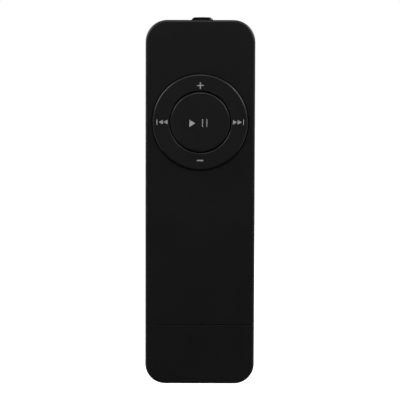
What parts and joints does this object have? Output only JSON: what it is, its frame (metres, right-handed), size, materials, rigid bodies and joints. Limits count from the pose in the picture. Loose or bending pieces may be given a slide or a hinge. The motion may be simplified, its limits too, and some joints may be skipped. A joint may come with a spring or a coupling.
{
  "type": "digital audio player",
  "caption": "Screenless digital audio player shaped like a memory stick, with a rocking control ring, a play button and a capped USB plug.",
  "frame": {"origin": "middle of the cap's closed end, half way through the depth", "axes": "+Z towards the headphone end, -Y out of the face with the control ring, +X to the right of a person who looks at that face"},
  "size_m": [0.025, 0.0084, 0.084],
  "materials": {
    "shell_plastic": "satin moulded, very fine texture",
    "key_plastic": "satin moulded, polished edges",
    "check_key": "smoked, satin",
    "connector_plastic": "moulded black",
    "switch_plastic": "moulded cream",
    "liner": "matt soft moulding",
    "plated_steel": "bright plated sheet",
    "contact_gold": "gold-flashed",
    "board_laminate": "black solder mask",
    "chip_epoxy": "moulded epoxy",
    "ceramic": "fired",
    "film": "black film",
    "clear_plastic": "clear moulded",
    "cell_foil": "laminated foil",
    "foam": "closed-cell foam",
    "wire_red": "insulation",
    "wire_black": "insulation"
  },
  "bodies": {
    "player": {"front_shell": "shell_plastic", "rear_shell": "shell_plastic", "end_bezel": "shell_plastic", "jack_collar": "connector_plastic", "jack_housing": "connector_plastic", "usb_insulator": "connector_plastic", "switch_housing": "connector_plastic", "check_switch_case": "connector_plastic", "battery_tray": "connector_plastic", "usb_sheath": "plated_steel", "jack_tip_spring": "plated_steel", "jack_ring_spring": "plated_steel", "jack_sleeve_spring": "plated_steel", "board_screws": "plated_steel", "dome_play": "plated_steel", "dome_next": "plated_steel", "dome_previous": "plated_steel", "dome_volume_up": "plated_steel", "dome_volume_down": "plated_steel", "crystal": "plated_steel", "usb_contacts": "contact_gold", "main_board": "board_laminate", "protection_board": "board_laminate", "processor": "chip_epoxy", "audio_converter": "chip_epoxy", "power_controller": "chip_epoxy", "flash_memory": "chip_epoxy", "passive_chips": "ceramic", "inductor": "ceramic", "dome_film": "film", "light_pipe": "clear_plastic", "status_light": "clear_plastic", "battery_cell": "cell_foil", "battery_pad": "foam", "battery_lead_positive": "wire_red", "battery_lead_negative": "wire_black"},
    "cap": {"usb_cap": "shell_plastic", "cap_liner": "liner"},
    "gimbal": {"ring_gimbal": "key_plastic"},
    "ring": {"control_ring": "key_plastic"},
    "play": {"play_button": "key_plastic"},
    "mode_slider": {"mode_knob": "shell_plastic", "slider_carrier": "shell_plastic", "switch_actuator": "switch_plastic"},
    "check": {"check_button": "check_key", "check_switch_plunger": "switch_plastic"}
  },
  "joints": [
    {"name": "cap_slide", "type": "slide", "parent": "player", "child": "cap", "axis": [0, 0, -1], "range_m": [0, 0.02]},
    {"name": "volume_tilt", "type": "hinge", "parent": "player", "child": "gimbal", "pos_m": [0, -0.0024, 0.06008], "axis": [-1, 0, 0], "range_deg": [-1.2, 1.2], "deforming": ["dome_volume_up", "dome_volume_down"]},
    {"name": "track_tilt", "type": "hinge", "parent": "gimbal", "child": "ring", "pos_m": [0, -0.0024, 0.06008], "axis": [0, 0, 1], "range_deg": [-1.2, 1.2], "deforming": ["dome_next", "dome_previous"]},
    {"name": "play_press", "type": "slide", "parent": "player", "child": "play", "axis": [0, 1, 0], "range_m": [0, 0.0002], "deforming": ["dome_play"]},
    {"name": "mode_slide", "type": "slide", "parent": "player", "child": "mode_slider", "axis": [0, 0, -1], "range_m": [0, 0.004]},
    {"name": "check_press", "type": "slide", "parent": "player", "child": "check", "axis": [0, -1, 0], "range_m": [0, 0.0002]}
  ]
}
